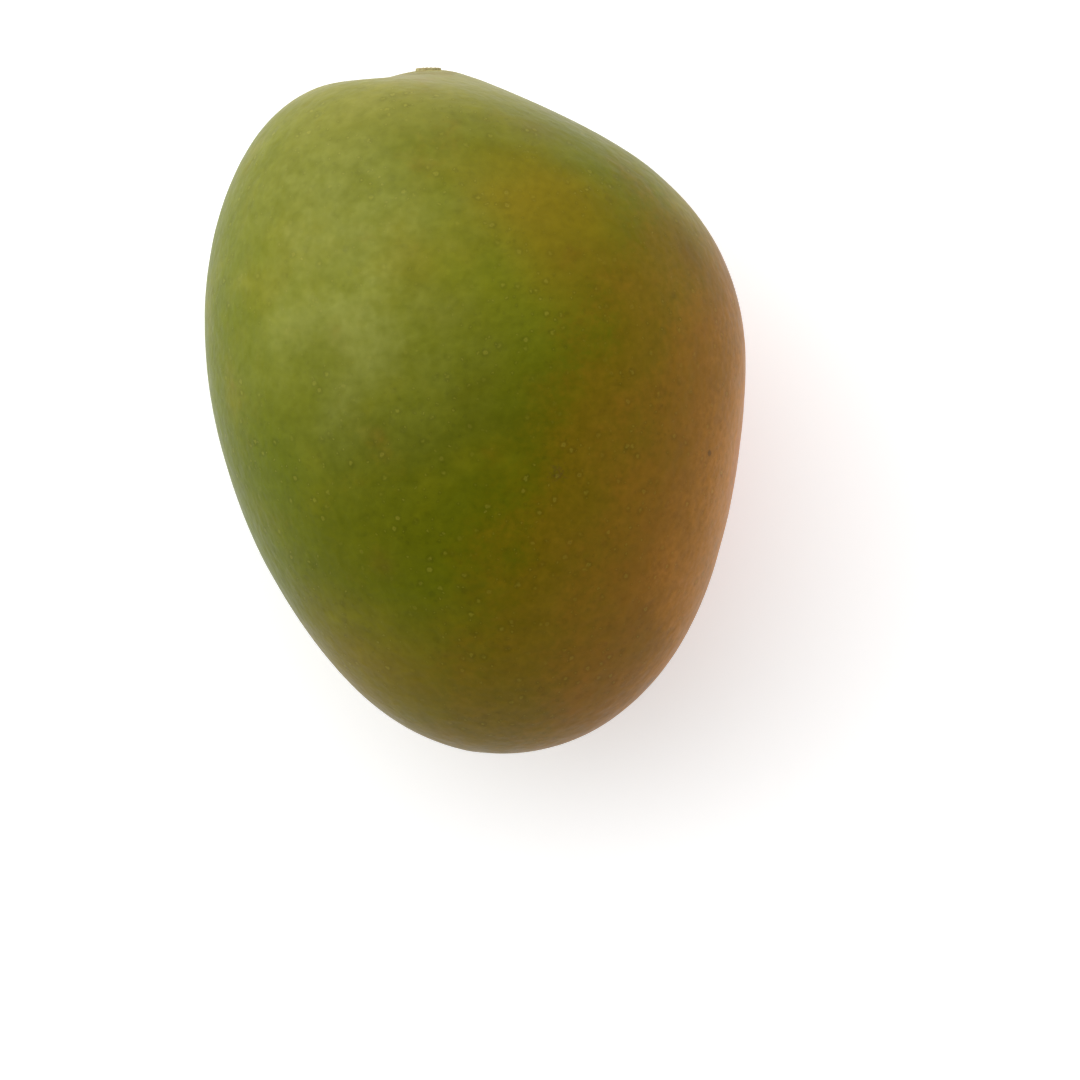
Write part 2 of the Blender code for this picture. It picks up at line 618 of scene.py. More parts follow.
@dataclass
class Relief:
    """What the skin has beside its form: lumps, pebbling, dents, a cracked collar and the style's mark.

    The lumps fade out towards the stem and the tip, over smooth_span, in metres from the axis. The cracks
    wander in waves round the stalk, each with its height, count and start, and in one wave outwards.
    """

    seed: int = 11
    lump_size: float = 0.021
    lump_height: float = 0.00013
    ripple_size: float = 0.0085
    ripple_height: float = 0.00005
    pebble_size: float = 0.0030
    pebble_height: float = 0.000018
    smooth_span: tuple[float, float] = (0.0030, 0.0100)
    dent_count: int = 9
    dent_span: tuple[float, float] = (-0.85, 0.75)
    dent_radii: tuple[float, float] = (0.0022, 0.0048)
    dent_depths: tuple[float, float] = (0.00006, 0.00018)
    cracks: tuple[Cracks, ...] = (Cracks(11, 1.0, 0.22, 1.0), Cracks(19, -1.3, 0.16, 0.8))
    crack_waves: tuple[tuple[float, int, float], ...] = ((1.5, 2, 0.7), (0.8, 5, 0.0))
    crack_weave: float = 0.9
    crack_weave_rate: float = 1900.0
    crack_height: float = 0.00005
    collar_share: float = 0.9
    collar_settle: float = 0.0005
    style_along: float = math.radians(171.0)
    style_around: float = math.radians(180.0)
    style_radius: float = 0.0019
    style_height: float = 0.00014
    style_pit_radius: float = 0.00076
    style_pit_depth: float = 0.000084

    def dents(self) -> list[Dent]:
        """The dents, drawn at random once and for all.

        Returns:
            The dents, in the order drawn.
        """
        draw = random.Random(self.seed)
        return [
            Dent(
                along=math.acos(draw.uniform(*self.dent_span)),
                around=draw.uniform(0.0, 2 * math.pi),
                radius=draw.uniform(*self.dent_radii),
                depth=draw.uniform(*self.dent_depths),
            )
            for _ in range(self.dent_count)
        ]

    def _noise_height(self, points: np.ndarray) -> np.ndarray:
        """The lumps, ripples and pebbling.

        Args:
            points: The form's points.

        Returns:
            Metres, outwards, at each point.
        """
        layers = (
            (self.lump_size, self.lump_height),
            (self.ripple_size, self.ripple_height),
            (self.pebble_size, self.pebble_height),
        )
        flat = points.reshape(-1, 3)
        heights = np.zeros(len(flat))
        for size, height in layers:
            heights += [height * noise.noise(Vector(point)) for point in flat / size]
        return heights.reshape(points.shape[:-1])

    def height(
        self, form: FruitForm, points: np.ndarray, along: np.ndarray, around: np.ndarray
    ) -> np.ndarray:
        """How far each point of the skin stands out.

        Args:
            form: The fruit's form.
            points: The form's points.
            along: Their angle from the stem.
            around: Their angle round the fruit.

        Returns:
            Metres, outwards.
        """
        width = form.half_width(along)
        height = self._noise_height(points) * smooth_step(*self.smooth_span, width)
        for dent in self.dents():
            middle = form.skin(np.array([dent.along]), np.array([dent.around]))[0]
            height -= dent.depth * bell(np.linalg.norm(points - middle, axis=-1), dent.radius)
        style = form.skin(np.array([self.style_along]), np.array([self.style_around]))[0]
        from_style = np.linalg.norm(points - style, axis=-1)
        height += self.style_height * bell(from_style, self.style_radius)
        height -= self.style_pit_depth * bell(from_style, self.style_pit_radius)
        collar = bell(width - form.collar_radius, self.collar_share * form.collar_width)
        collar = collar * (along < math.pi / 2)
        cracked = 1.0 - 2.0 * self.crack_share(width, around)
        return height + (self.crack_height * cracked - self.collar_settle) * collar

    def crack_share(self, width: np.ndarray, around: np.ndarray) -> np.ndarray:
        """Where the collar's radial cracks are.

        Args:
            width: How far each point is from the stalk's axis.
            around: Its angle round the fruit.

        Returns:
            1 in the deepest cracks, and 0 between them.
        """
        wander = sum(height * np.sin(count * around + start) for height, count, start in self.crack_waves)
        wander = wander + self.crack_weave * np.sin(self.crack_weave_rate * width)
        depths = []
        for kind in self.cracks:
            from_crack = np.sin(kind.count * around + kind.wander * wander)
            depths.append(kind.depth * bell(from_crack, kind.width))
        return np.maximum.reduce(depths)


@dataclass(frozen=True)
class Patch:
    """A soft round patch on the skin: its place and its reach, in degrees, and how strongly it shows."""

    along: float
    around: float
    reach: float
    strength: float


@dataclass(frozen=True)
class Dots:
    """One kind of breathing dot: how far apart, how big as a share of that, and how strongly it shows."""

    spacing: float
    radius: float
    strength: float


@dataclass(frozen=True)
class SkinTextures:
    """The fine textures that the skin's colours, roughness and relief share."""

    place: Socket
    stipple: Socket
    peel: Socket
    mottle: Socket
    grain: Socket


@dataclass(frozen=True)
class Greens:
    """The skin's greens, leafier on the belly, yellower in soft patches, and tan in one place.

    The stops run from the stem to the tip, each at its share of the way. The pale, bluish stops at the stem
    end are partly painted reflection, the dark ones below the middle partly painted shade, and the brown ones
    at the tip partly painted warm reflected light. The drift shakes every border.
    """

    stops: tuple[tuple[float, Colour], ...] = (
        (0.03, linear(143, 137, 74)),
        (0.10, linear(134, 130, 56)),
        (0.22, linear(104, 107, 4)),
        (0.37, linear(116, 120, 4)),
        (0.54, linear(95, 98, 2)),
        (0.68, linear(101, 104, 3)),
        (0.82, linear(122, 106, 14)),
        (1.00, linear(126, 101, 24)),
    )
    leaf_green: Colour = linear(100, 110, 4)
    yellow_green: Colour = linear(130, 125, 10)
    tan: Colour = linear(134, 112, 6)
    drift: Cloud = Cloud(0.024, 2.0)
    stop_drift: float = 0.22
    belly_drift: float = 0.8
    belly_fade: Fade = Fade(0.15, 0.85, 0.0, 0.8)
    yellow_patches: Cloud = Cloud(0.016, 3.0, 0.6)
    yellow_fade: Fade = Fade(0.50, 0.78, 0.0, 0.5)
    tan_drift: float = 1.4
    tan_fade: Fade = Fade(0.1, 1.0, 0.0, 0.8)

    def colour(self, bench: SkinBench) -> Socket:
        """The greens as a colour.

        Args:
            bench: The skin's nodes.

        Returns:
            The colour's socket.
        """
        drift = bench.math(Sum.LESS, bench.noise(self.drift), 0.5)
        along = bench.math(Sum.TIMES_PLUS, drift, self.stop_drift, bench.attribute(Mask.ALONG))
        colour = bench.ramp(along, self.stops)
        belly = bench.math(Sum.TIMES_PLUS, drift, self.belly_drift, bench.attribute(Mask.BELLY))
        colour = bench.mix(bench.span(belly, self.belly_fade), colour, self.leaf_green)
        yellow = bench.span(bench.noise(self.yellow_patches), self.yellow_fade)
        colour = bench.mix(yellow, colour, self.yellow_green)
        tan = bench.math(Sum.TIMES_PLUS, drift, self.tan_drift, bench.attribute(Mask.TAN))
        return bench.mix(bench.span(tan, self.tan_fade), colour, self.tan)


@dataclass(frozen=True)
class Blush:
    """The red-brown blush, broken into clouds and stipple where it starts, with scarlet in its middle.

    The stops run from where it starts to its middle; the pale top ones, which show along the back's rim seen
    from above, are partly painted rim reflection.
    """

    stops: tuple[tuple[float, Colour], ...] = (
        (0.00, linear(112, 105, 3)),
        (0.11, linear(115, 102, 4)),
        (0.22, linear(124, 103, 9)),
        (0.32, linear(131, 105, 16)),
        (0.42, linear(143, 106, 22)),
        (0.56, linear(154, 106, 27)),
        (0.68, linear(175, 117, 37)),
        (0.86, linear(196, 133, 60)),
        (1.00, linear(203, 136, 72)),
    )
    scarlet: Colour = linear(188, 76, 32)
    clouds: Cloud = Cloud(0.013, 4.0, 0.6)
    cloud_share: float = 0.34
    stipple_share: float = 0.17
    edge_fade: Fade = Fade(0.0, 0.24)
    scarlet_cloud_share: float = 1.2
    scarlet_fade: Fade = Fade(0.10, 1.25, 0.0, 0.9)

    def over(self, bench: SkinBench, colour: Socket, stipple: Socket) -> Socket:
        """The blush over a colour.

        Args:
            bench: The skin's nodes.
            colour: The colour under it.
            stipple: The fine texture that breaks it.

        Returns:
            The colour's socket.
        """
        cloud = bench.math(Sum.LESS, bench.noise(self.clouds), 0.5)
        level = bench.math(Sum.TIMES_PLUS, cloud, self.cloud_share, bench.attribute(Mask.BLUSH))
        level = bench.math(Sum.TIMES_PLUS, bench.math(Sum.LESS, stipple, 0.5), self.stipple_share, level)
        colour = bench.mix(bench.span(level, self.edge_fade), colour, bench.ramp(level, self.stops))
        fire = bench.math(Sum.TIMES_PLUS, cloud, self.scarlet_cloud_share, bench.attribute(Mask.FIRE))
        return bench.mix(bench.span(fire, self.scarlet_fade), colour, self.scarlet)


@dataclass(frozen=True)
class BreathingDots:
    """The pale breathing dots, each with a brown eye and a darker ring round it, stronger here than there.

    The reaches are shares of a dot's radius.
    """

    kinds: tuple[Dots, ...] = (Dots(0.0016, 0.16, 0.22), Dots(0.0031, 0.17, 0.21))
    pale: Colour = linear(170, 158, 62)
    ring: Colour = (0.50, 0.50, 0.36)
    eye: Colour = linear(92, 68, 34)
    ring_reach: float = 2.1
    core_reach: float = 0.45
    eye_reach: tuple[float, float] = (0.36, 0.16)
    ring_strength: float = 0.26
    eye_strength: float = 1.5
    groups: Cloud = Cloud(0.011, 2.0)
    group_fade: Fade = Fade(0.34, 0.62, 0.25, 1.0)

    def over(self, bench: SkinBench, colour: Socket, place: Socket) -> Socket:
        """The dots over a colour.

        Args:
            bench: The skin's nodes.
            colour: The colour under them.
            place: Where their pattern is read.

        Returns:
            The colour's socket.
        """
        strength = bench.span(bench.noise(self.groups), self.group_fade)
        for kind in self.kinds:
            radius = kind.radius
            near = bench.from_points(kind.spacing, place)
            ring = bench.math(Sum.TIMES, bench.span(near, Fade(self.ring_reach * radius, radius)), strength)
            core = bench.math(Sum.TIMES, bench.span(near, Fade(radius, self.core_reach * radius)), strength)
            eye = bench.span(near, Fade(self.eye_reach[0] * radius, self.eye_reach[1] * radius))
            ring_share = bench.math(Sum.TIMES, ring, self.ring_strength)
            colour = bench.mix(ring_share, colour, self.ring, Blend.DARKEN)
            colour = bench.mix(bench.math(Sum.TIMES, core, kind.strength), colour, self.pale, Blend.LIGHTEN)
            eye_share = bench.math(Sum.TIMES, eye, self.eye_strength * kind.strength)
            colour = bench.mix(eye_share, colour, self.eye)
        return colour


@dataclass(frozen=True)
class WaxyBloomAndPaintedSheen:
    """The pale layer: partly the thin bloom of wax, and partly painted sheen and painted rim reflection. It is
    cloudy, and thinner in the skin's fine hollows, which paints shade in the peel's hollows.
    """

    # pale stands for the wax bloom and, where the patches put it, for painted sheen
    pale: Colour = linear(166, 169, 94)
    clouds: Cloud = Cloud(0.014, 4.0, 0.6)
    cloud_fade: Fade = Fade(0.30, 0.70, 0.35, 1.0)
    peel_hollow_shade: Fade = Fade(0.30, 0.70, 0.80, 1.08)
    mottle_wear: Fade = Fade(0.28, 0.72, 0.86, 1.06)
    strength: float = 0.42

    def bloom_and_sheen_film(self, bench: SkinBench) -> Socket:
        """How thick the pale layer of bloom and painted sheen is, from 0 to 1."""
        clouds = bench.span(bench.noise(self.clouds), self.cloud_fade)
        return bench.math(Sum.TIMES, clouds, bench.attribute(Mask.BLOOM_AND_SHEEN))

    def over(self, bench: SkinBench, colour: Socket, bloom_and_sheen_film: Socket, textures: SkinTextures) -> Socket:
        """The bloom and its painted sheen over a colour.

        Args:
            bench: The skin's nodes.
            colour: The colour under it.
            bloom_and_sheen_film: How thick it is.
            textures: The skin's textures, which thin it in their hollows.

        Returns:
            The colour's socket.
        """
        by_peel = bench.span(textures.peel, self.peel_hollow_shade)
        thinned_share = bench.math(Sum.TIMES, by_peel, bench.span(textures.mottle, self.mottle_wear))
        left = bench.math(Sum.TIMES, bloom_and_sheen_film, thinned_share)
        return bench.mix(bench.math(Sum.TIMES, left, self.strength), colour, self.pale)


@dataclass(frozen=True)
class SkinMarks:
    """Soft russet smudges, the sap's stain, and a few small specks and scuffs where the skin was rubbed."""

    russet: Colour = linear(104, 78, 20)
    smudge_fade: Fade = Fade(0.30, 0.62, 0.6, 1.0)
    smudge_strength: float = 0.8
    sap: Colour = linear(112, 90, 36)
    sap_fade: Fade = Fade(0.35, 0.65)
    sap_strength: float = 0.45
    speck: Colour = linear(92, 68, 34)
    speck_spacing: float = 0.021
    speck_fade: Fade = Fade(0.040, 0.018)
    scuff_spacing: float = 0.034
    scuff_fray: float = 0.11
    scuff_fade: Fade = Fade(0.135, 0.105, 0.0, 0.75)
    speck_strength: float = 0.65

    def over(self, bench: SkinBench, colour: Socket, textures: SkinTextures) -> Socket:
        """The marks over a colour.

        Args:
            bench: The skin's nodes.
            colour: The colour under them.
            textures: The skin's textures, which break them.

        Returns:
            The colour's socket.
        """
        smudge_wear = bench.span(textures.mottle, self.smudge_fade)
        smudge = bench.math(Sum.TIMES, bench.attribute(Mask.SMUDGE), smudge_wear)
        colour = bench.mix(bench.math(Sum.TIMES, smudge, self.smudge_strength), colour, self.russet)
        sap_wear = bench.span(textures.mottle, self.sap_fade)
        stain = bench.math(Sum.TIMES, bench.attribute(Mask.STAIN), sap_wear)
        colour = bench.mix(bench.math(Sum.TIMES, stain, self.sap_strength), colour, self.sap)
        specks = bench.span(bench.from_points(self.speck_spacing, textures.place), self.speck_fade)
        from_scuff = bench.from_points(self.scuff_spacing)
        from_scuff = bench.math(Sum.TIMES_PLUS, textures.grain, self.scuff_fray, from_scuff)
        rubbed = bench.math(Sum.LARGER, specks, bench.span(from_scuff, self.scuff_fade))
        return bench.mix(bench.math(Sum.TIMES, rubbed, self.speck_strength), colour, self.speck)


@dataclass(frozen=True)
class CorkRing:
    """The ring of cork round the stalk, ragged at its edge and darker in its cracks."""

    pale: Colour = linear(166, 158, 98)
    dark: Colour = linear(134, 122, 66)
    crack: Colour = linear(96, 82, 42)
    grain_fade: Fade = Fade(0.25, 0.75)
    crack_strength: float = 0.55
    raggedness: float = 0.6
    edge_fade: Fade = Fade(0.12, 0.85)

    def share(self, bench: SkinBench, grain: Socket) -> Socket:
        """How much cork there is, from 0 to 1.

        Args:
            bench: The skin's nodes.
            grain: The texture that frays its edge.

        Returns:
            The share's socket.
        """
        fray = bench.math(Sum.LESS, grain, 0.5)
        ragged = bench.math(Sum.TIMES_PLUS, fray, self.raggedness, bench.attribute(Mask.CORK))
        return bench.span(ragged, self.edge_fade)

    def over(self, bench: SkinBench, colour: Socket, share: Socket, grain: Socket) -> Socket:
        """The cork over a colour.

        Args:
            bench: The skin's nodes.
            colour: The colour under it.
            share: How much cork there is.
            grain: The texture of the cork.

        Returns:
            The colour's socket.
        """
        cork = bench.mix(bench.span(grain, self.grain_fade), self.dark, self.pale)
        cracked = bench.math(Sum.TIMES, bench.attribute(Mask.CRACK), self.crack_strength)
        return bench.mix(share, colour, bench.mix(cracked, cork, self.crack))


@dataclass(frozen=True)
class SkinFinish:
    """Waxy mango skin: greens and a red-brown blush, with fine mottling and painted shade in the peel's
    hollows, dots, bloom with painted sheen, marks and cork.
    """

    greens: Greens = Greens()
    blush: Blush = Blush()
    dots: BreathingDots = BreathingDots()
    bloom: WaxyBloomAndPaintedSheen = WaxyBloomAndPaintedSheen()
    marks: SkinMarks = SkinMarks()
    cork: CorkRing = CorkRing()
    shake: float = 0.0005
    stipple: Cloud = Cloud(0.0013, 3.0, 0.68)
    peel: Cloud = Cloud(0.0021, 1.0)
    mottle: Cloud = Cloud(0.0034, 2.0, 0.6)
    grain: Cloud = Cloud(0.0006, 2.0, 0.7)
    mottle_tint: Colour = (0.60, 0.62, 0.50)
    mottle_fade: Fade = Fade(0.28, 0.72, 0.22, 0.0)
    # In the peel's hollows this tint is painted shade; on the stipple it is the skin's own fine speckle.
    hollow_shade_and_stipple_tint: Colour = (0.55, 0.58, 0.40)
    peel_shade_fade: Fade = Fade(0.30, 0.70, 0.14, 0.0)
    stipple_fade: Fade = Fade(0.30, 0.70, 0.18, 0.0)
    pore_depth: float = 0.00002
    peel_depth: float = 0.00014
    cork_roughness_rise: float = 0.35
    cork_grain_rise: float = 8.0
    bloom_roughness_rise: float = 0.10
    roughness: Fade = Fade(0.3, 0.7, 0.38, 0.46)
    specular: float = 0.055
    coat: float = 0.03
    coat_roughness: float = 0.26
    sheen: float = 0.06
    sheen_roughness: float = 0.35

    def _textures(self, bench: SkinBench) -> SkinTextures:
        """The skin's fine textures.

        Args:
            bench: The skin's nodes.

        Returns:
            Their sockets.
        """
        return SkinTextures(
            place=bench.shaken(self.shake, self.shake),
            stipple=bench.noise(self.stipple),
            peel=bench.noise(self.peel),
            mottle=bench.noise(self.mottle),
            grain=bench.noise(self.grain),
        )

    def _mottled_with_painted_shade(self, bench: SkinBench, colour: Socket, textures: SkinTextures) -> Socket:
        """A colour, darker where the mottle and the stipple are low, and with painted shade in the peel's
        hollows, which are the relief's hollows too.

        Args:
            bench: The skin's nodes.
            colour: The colour to shade.
            textures: The textures that darken it.

        Returns:
            The colour's socket.
        """
        shades = (
            (textures.mottle, self.mottle_fade, self.mottle_tint),
            (textures.peel, self.peel_shade_fade, self.hollow_shade_and_stipple_tint),
            (textures.stipple, self.stipple_fade, self.hollow_shade_and_stipple_tint),
        )
        for texture, fade, tint in shades:
            colour = bench.mix(bench.span(texture, fade), colour, tint, Blend.DARKEN)
        return colour

    def _relief(self, bench: SkinBench, textures: SkinTextures, corky: Socket) -> Socket:
        """The pores and the peel's waves, with coarser grain in the cork.

        Args:
            bench: The skin's nodes.
            textures: The skin's textures.
            corky: How much cork there is.

        Returns:
            The relief's socket.
        """
        coarseness = bench.math(Sum.TIMES_PLUS, corky, self.cork_grain_rise, 1.0)
        height = bench.math(Sum.TIMES, textures.grain, coarseness)
        height = bench.math(Sum.TIMES_PLUS, textures.peel, self.peel_depth / self.pore_depth, height)
        return bench.bump(height, self.pore_depth)

    def _set_gloss(self, bench: SkinBench) -> None:
        """Sets the skin's reflections.

        Args:
            bench: The skin's nodes.
        """
        inputs = bench.shader.inputs
        inputs["Specular IOR Level"].default_value = self.specular
        inputs["Coat Weight"].default_value = self.coat
        inputs["Coat Roughness"].default_value = self.coat_roughness
        inputs["Sheen Weight"].default_value = self.sheen
        inputs["Sheen Roughness"].default_value = self.sheen_roughness

    def material(self) -> bpy.types.Material:
        """The finish as a material.

        Returns:
            The material.
        """
        bench = SkinBench("mango_skin")
        textures = self._textures(bench)
        bloom_and_sheen_film = self.bloom.bloom_and_sheen_film(bench)
        corky = self.cork.share(bench, textures.grain)
        colour = self.blush.over(bench, self.greens.colour(bench), textures.stipple)
        colour = self._mottled_with_painted_shade(bench, colour, textures)
        colour = self.dots.over(bench, colour, textures.place)
        colour = self.bloom.over(bench, colour, bloom_and_sheen_film, textures)
        colour = self.marks.over(bench, colour, textures)
        colour = self.cork.over(bench, colour, corky, textures.grain)
        rough = bench.span(textures.mottle, self.roughness)
        rough = bench.math(Sum.TIMES_PLUS, bloom_and_sheen_film, self.bloom_roughness_rise, rough)
        rough = bench.math(Sum.TIMES_PLUS, corky, self.cork_roughness_rise, rough)
        self._set_gloss(bench)
        return bench.dress(colour, rough, self._relief(bench, textures, corky))


@dataclass(frozen=True)
class StalkFinish:
    """A dry cut stalk: pale brown bark on its side, and a cut face of paler wood with its fibres' ends."""

    bark: Colour = linear(178, 170, 120)
    bark_dark: Colour = linear(146, 133, 88)
    wood: Colour = linear(196, 182, 134)
    wood_dark: Colour = linear(150, 126, 82)
    grain: Cloud = Cloud(0.0005, 4.0, 0.7)
    side_fade: Fade = Fade(0.35, 0.65)
    fibre_spacing: float = 0.00034
    shake_size: float = 0.0004
    shake_reach: float = 0.00025
    fibre_fade: Fade = Fade(0.20, 0.48)
    fibre_strength: float = 0.55
    least_wood: float = 0.25
    stain_fade: Fade = Fade(0.35, 0.70, 0.5, 0.0)
    rim_fade: Fade = Fade(0.70, 0.92)
    rim_strength: float = 0.6
    grain_depth: float = 0.00012
    roughness: Fade = Fade(0.3, 0.7, 0.75, 0.95)

    def _cut_face(self, bench: SkinBench, grain: Socket) -> Socket:
        """The cut face's colour: fibre ends in the middle, and a darker rim.

        Args:
            bench: The stalk's nodes.
            grain: The texture that stains it.

        Returns:
            The colour's socket.
        """
        place = bench.shaken(self.shake_size, self.shake_reach)
        ends = bench.span(bench.from_points(self.fibre_spacing, place), self.fibre_fade)
        share = bench.math(Sum.TIMES_PLUS, ends, self.fibre_strength, self.least_wood)
        face = bench.mix(share, self.wood_dark, self.wood)
        face = bench.mix(bench.span(grain, self.stain_fade), face, self.bark_dark)
        rim = bench.span(bench.attribute(StubPart.FROM_AXIS), self.rim_fade)
        return bench.mix(bench.math(Sum.TIMES, rim, self.rim_strength), face, self.bark_dark)

    def material(self) -> bpy.types.Material:
        """The finish as a material.

        Returns:
            The material.
        """
        bench = SkinBench("mango_stalk_wood")
        grain = bench.noise(self.grain)
        side = bench.mix(bench.span(grain, self.side_fade), self.bark_dark, self.bark)
        colour = bench.mix(bench.attribute(StubPart.CUT_FACE), side, self._cut_face(bench, grain))
        return bench.dress(colour, bench.span(grain, self.roughness), bench.bump(grain, self.grain_depth))


@dataclass(frozen=True)
class FloorFinish:
    """A plain white floor of opal acrylic, lit a little from below so that shadows on it stay pale."""

    colour: Colour = (0.93, 0.93, 0.93)
    roughness: float = 0.75
    glow: float = 0.38

    def material(self) -> bpy.types.Material:
        """The finish as a material.

        Returns:
            The material.
        """
        material = bpy.data.materials.new("pale_floor")
        material.use_nodes = True
        shader = material.node_tree.nodes["Principled BSDF"]
        shader.inputs["Base Color"].default_value = (*self.colour, 1.0)
        shader.inputs["Roughness"].default_value = self.roughness
        shader.inputs["Emission Color"].default_value = (1.0, 1.0, 1.0, 1.0)
        shader.inputs["Emission Strength"].default_value = self.glow
        return material


@dataclass
class RingMesh:
    """A closed skin made of rounds of points, from a first middle point to a last one."""

    name: str
    rounds: np.ndarray
    first: np.ndarray
    last: np.ndarray
    values: dict[Enum, np.ndarray] = field(default_factory=dict)

    def _faces(self) -> list[tuple[int, ...]]:
        """The faces between the rounds, and the fans at both ends.

        Returns:
            Each face's points, by their places in the mesh.
        """
        count, sides = self.rounds.shape[:2]
        index = np.arange(count * sides).reshape(count, sides)
        beside = np.roll(index, -1, axis=1)
        walls = np.stack([index[:-1], beside[:-1], beside[1:], index[1:]], axis=-1).reshape(-1, 4)
        start, end = count * sides, count * sides + 1
        fans = [(start, beside[0, j], index[0, j]) for j in range(sides)]
        fans += [(end, index[-1, j], beside[-1, j]) for j in range(sides)]
        return [tuple(face) for face in walls.tolist()] + [tuple(int(i) for i in fan) for fan in fans]

    def _bake_map(self, mesh: bpy.types.Mesh) -> None:
        """Gives the mesh an even map for baking: round it from left to right, and along it upwards.

        Args:
            mesh: The mesh, with the faces that this class makes.
        """
        count, sides = self.rounds.shape[:2]
        gaps = np.linalg.norm(np.diff(self.rounds, axis=0), axis=-1).mean(axis=1)
        reach = np.concatenate([[0.0], np.cumsum(gaps)])
        edge = 0.5 * reach[-1] / count
        level = (reach + edge) / (reach[-1] + 2 * edge)
        column = np.arange(sides) / sides
        step = 1.0 / sides
        u = np.stack([column, column + step, column + step, column], axis=-1)
        corners = np.empty((count - 1, sides, 4, 2))
        corners[..., 0] = u
        corners[..., 1] = np.stack([level[:-1], level[:-1], level[1:], level[1:]], axis=-1)[:, None, :]
        first = np.empty((sides, 3, 2))
        first[..., 0] = np.stack([column + step / 2, column + step, column], axis=-1)
        first[..., 1] = (0.0, level[0], level[0])
        last = np.empty((sides, 3, 2))
        last[..., 0] = np.stack([column + step / 2, column, column + step], axis=-1)
        last[..., 1] = (1.0, level[-1], level[-1])
        uv = mesh.uv_layers.new(name="OFBake")
        uv.uv.foreach_set("vector", np.concatenate([corners.ravel(), first.ravel(), last.ravel()]))

    def build(self, material: bpy.types.Material) -> bpy.types.Object:
        """Makes the object.

        Args:
            material: Its finish.

        Returns:
            The object, linked to the scene.
        """
        mesh = bpy.data.meshes.new(self.name)
        points = np.concatenate([self.rounds.reshape(-1, 3), self.first[None], self.last[None]])
        mesh.from_pydata(points.tolist(), [], self._faces())
        for mask, values in self.values.items():
            layer = mesh.attributes.new(mask.value, "FLOAT", "POINT")
            layer.data.foreach_set("value", values.astype(np.float32))
        self._bake_map(mesh)
        mesh.shade_smooth()
        mesh.materials.append(material)
        made = bpy.data.objects.new(self.name, mesh)
        bpy.context.scene.collection.objects.link(made)
        return made


